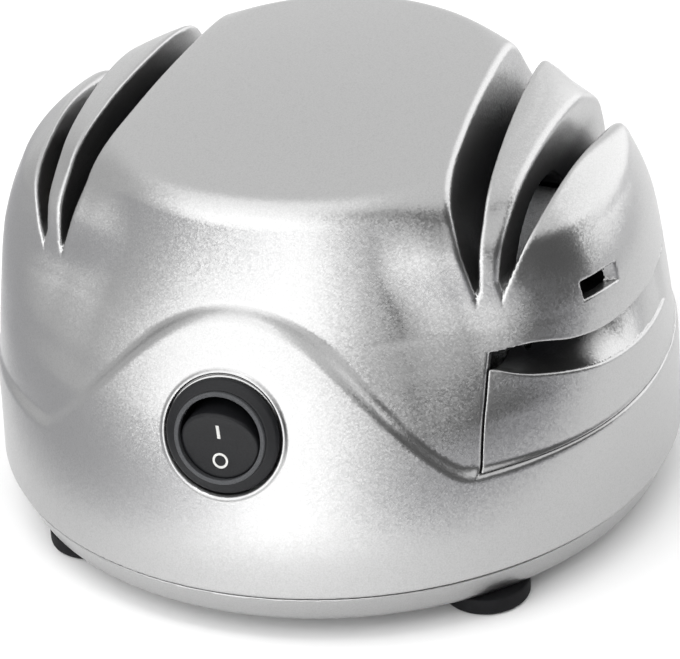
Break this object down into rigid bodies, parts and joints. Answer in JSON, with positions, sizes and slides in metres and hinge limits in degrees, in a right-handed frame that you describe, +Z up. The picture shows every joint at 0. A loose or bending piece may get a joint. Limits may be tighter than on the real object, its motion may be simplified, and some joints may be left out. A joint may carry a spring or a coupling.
{
  "type": "electric knife sharpener",
  "caption": "Round silver countertop sharpener with blade slots over motor-driven grinding wheels, a rocker switch and a pull-out filings tray.",
  "frame": {"origin": "on the table, under the middle of the round body", "axes": "+Z up, -Y towards the switch at the front, +X towards the filings tray on the right"},
  "size_m": [0.14, 0.14, 0.0898],
  "materials": {
    "silver_plastic": "satin metallic silver paint with a fine sparkle",
    "black_plastic": "fine satin",
    "rubber": "matt",
    "steel": "machined",
    "brass": "plain",
    "copper": "enamelled copper wire",
    "nylon": "natural",
    "coarse_grit": "coarse vitrified abrasive",
    "fine_grit": "fine vitrified abrasive"
  },
  "bodies": {
    "case": {"housing": "silver_plastic", "base_pan": "silver_plastic", "foot_1": "rubber", "foot_2": "rubber", "foot_3": "rubber", "foot_4": "rubber", "case_screw_1": "steel", "case_screw_2": "steel", "case_screw_3": "steel", "case_screw_4": "steel", "switch_body": "black_plastic", "switch_terminal_1": "brass", "switch_terminal_2": "brass", "cord_gland": "rubber", "terminal_block": "nylon", "motor_stator": "steel", "motor_bobbin": "nylon", "motor_coil": "copper", "bearing_bracket_1": "steel", "bearing_bracket_2": "steel", "bearing_1": "brass", "bearing_2": "brass", "motor_bolt_1": "steel", "motor_bolt_2": "steel", "motor_nut_1": "steel", "motor_nut_2": "steel", "screwdriver_guide": "black_plastic"},
    "spindle": {"motor_shaft": "steel", "motor_rotor": "steel", "cooling_fan": "nylon", "coarse_wheel": "coarse_grit", "coarse_wheel_flange": "steel", "coarse_wheel_nut": "steel", "fine_wheel": "fine_grit", "fine_wheel_flange": "steel", "fine_wheel_nut": "steel"},
    "rocker": {"switch_rocker": "black_plastic"},
    "tray": {"filings_tray": "silver_plastic"}
  },
  "joints": [
    {"name": "spindle_spin", "type": "hinge", "parent": "case", "child": "spindle", "pos_m": [0, 0, 0.0422], "axis": [1, 0, 0], "continuous": true},
    {"name": "rocker_press", "type": "hinge", "parent": "case", "child": "rocker", "pos_m": [0, -0.06034, 0.04302], "axis": [-1, 0, 0], "range_deg": [0, 28]},
    {"name": "tray_slide", "type": "slide", "parent": "case", "child": "tray", "axis": [1, 0, 0], "range_m": [0, 0.028]}
  ]
}
